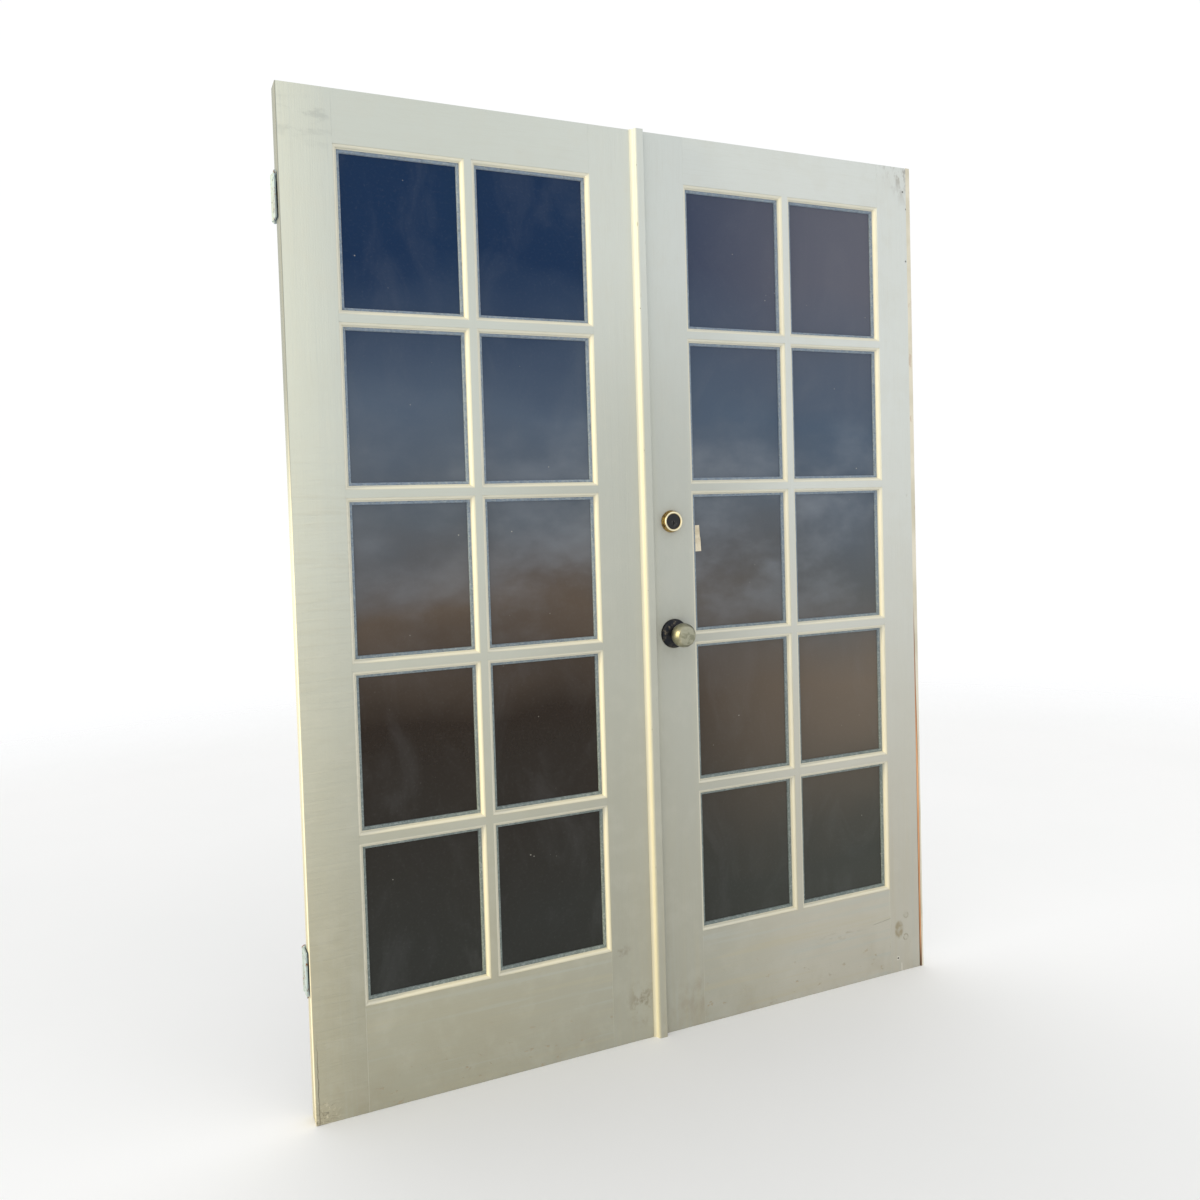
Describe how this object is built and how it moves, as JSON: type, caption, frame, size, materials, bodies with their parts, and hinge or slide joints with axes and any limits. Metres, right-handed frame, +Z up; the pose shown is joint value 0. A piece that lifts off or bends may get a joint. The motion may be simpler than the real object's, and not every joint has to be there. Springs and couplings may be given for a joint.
{
  "type": "french doors",
  "caption": "Pair of painted wooden French doors with divided glass, butt hinges, a moulded cover strip at the meeting edge, ball knobs and a deadbolt.",
  "frame": {"origin": "middle of the gap between the closed leaves, half way through the leaf thickness, level with the leaf bottoms", "axes": "+X along the width towards the leaf with the knob, +Y to the inside, the way both leaves swing, +Z up"},
  "size_m": [1.5434, 0.178, 2.032],
  "materials": {
    "paint": "off-white brushed paint, worn",
    "glass": "clear, dark behind",
    "hinge": "steel painted over with the doors",
    "screws": "dull steel",
    "lock_steel": "dull steel",
    "brass": "worn polished brass",
    "aged_brass": "aged brass, patchy",
    "dark_bronze": "near black bronze"
  },
  "bodies": {
    "jamb_hinges": {"jamb_plate_left_low": "hinge", "hinge_pin_left_low": "hinge", "jamb_plate_left_high": "hinge", "hinge_pin_left_high": "hinge", "jamb_plate_right_low": "hinge", "hinge_pin_right_low": "hinge", "jamb_plate_right_high": "hinge", "hinge_pin_right_high": "hinge"},
    "passive_leaf": {"left_hinge_stile": "paint", "left_meeting_stile": "paint", "left_top_rail": "paint", "left_bottom_rail": "paint", "left_upright_bar": "paint", "left_cross_bars": "paint", "left_beads": "paint", "left_panes_row_1": "glass", "left_panes_row_2": "glass", "left_panes_row_3": "glass", "left_panes_row_4": "glass", "left_panes_row_5": "glass", "left_fixings": "screws", "cover_strip": "paint", "leaf_plate_left_low": "hinge", "leaf_plate_left_high": "hinge", "deadbolt_strike": "brass", "latch_strike": "brass", "top_bolt_plate": "brass", "bottom_bolt_plate": "brass"},
    "active_leaf": {"right_hinge_stile": "paint", "right_meeting_stile": "paint", "right_top_rail": "paint", "right_bottom_rail": "paint", "right_upright_bar": "paint", "right_cross_bars": "paint", "right_beads": "paint", "right_panes_row_1": "glass", "right_panes_row_2": "glass", "right_panes_row_3": "glass", "right_panes_row_4": "glass", "right_panes_row_5": "glass", "right_edge_strip": "paint", "right_fixings": "screws", "leaf_plate_right_low": "hinge", "leaf_plate_right_high": "hinge", "deadbolt_collar": "brass", "deadbolt_cylinder": "dark_bronze", "deadbolt_case": "lock_steel", "deadbolt_inside_plate": "brass", "outside_rose": "dark_bronze", "inside_rose": "dark_bronze", "latch_case": "lock_steel"},
    "knob_set": {"outside_knob": "aged_brass", "spindle": "lock_steel", "inside_knob": "aged_brass"},
    "latch_bolt": {"latch": "lock_steel"},
    "key_and_thumb_turn": {"deadbolt_plug": "dark_bronze", "thumb_turn": "brass"},
    "dead_bolt": {"deadbolt": "lock_steel"},
    "top_bolt": {"top_bolt_rod": "brass"},
    "bottom_bolt": {"bottom_bolt_rod": "brass"}
  },
  "joints": [
    {"name": "active_leaf_swing", "type": "hinge", "parent": "jamb_hinges", "child": "active_leaf", "pos_m": [0.7655, 0.0285, 0], "axis": [0, 0, -1], "range_deg": [0, 165]},
    {"name": "passive_leaf_swing", "type": "hinge", "parent": "jamb_hinges", "child": "passive_leaf", "pos_m": [-0.7655, 0.0285, 0], "axis": [0, 0, 1], "range_deg": [0, 165]},
    {"name": "knob_turn", "type": "hinge", "parent": "active_leaf", "child": "knob_set", "pos_m": [0.062, 0, 0.914], "axis": [0, 1, 0], "range_deg": [0, 60], "stiffness_Nm_per_rad": 0.4, "springref_deg": -17.19},
    {"name": "latch_slide", "type": "slide", "parent": "active_leaf", "child": "latch_bolt", "axis": [1, 0, 0], "range_m": [0, 0.012]},
    {"name": "thumb_turn_turn", "type": "hinge", "parent": "active_leaf", "child": "key_and_thumb_turn", "pos_m": [0.062, 0, 1.164], "axis": [0, 1, 0], "range_deg": [0, 90]},
    {"name": "deadbolt_slide", "type": "slide", "parent": "active_leaf", "child": "dead_bolt", "axis": [-1, 0, 0], "range_m": [0, 0.025]},
    {"name": "top_bolt_slide", "type": "slide", "parent": "passive_leaf", "child": "top_bolt", "axis": [0, 0, 1], "range_m": [0, 0.018]},
    {"name": "bottom_bolt_slide", "type": "slide", "parent": "passive_leaf", "child": "bottom_bolt", "axis": [0, 0, -1], "range_m": [0, 0.018]}
  ],
  "couplings": [
    {"joint": "passive_leaf_swing", "follows": "active_leaf_swing", "ratio": 1},
    {"joint": "latch_slide", "follows": "knob_turn", "m_per_rad": 0.011458},
    {"joint": "thumb_turn_turn", "follows": "deadbolt_slide", "rad_per_m": 62.831}
  ]
}
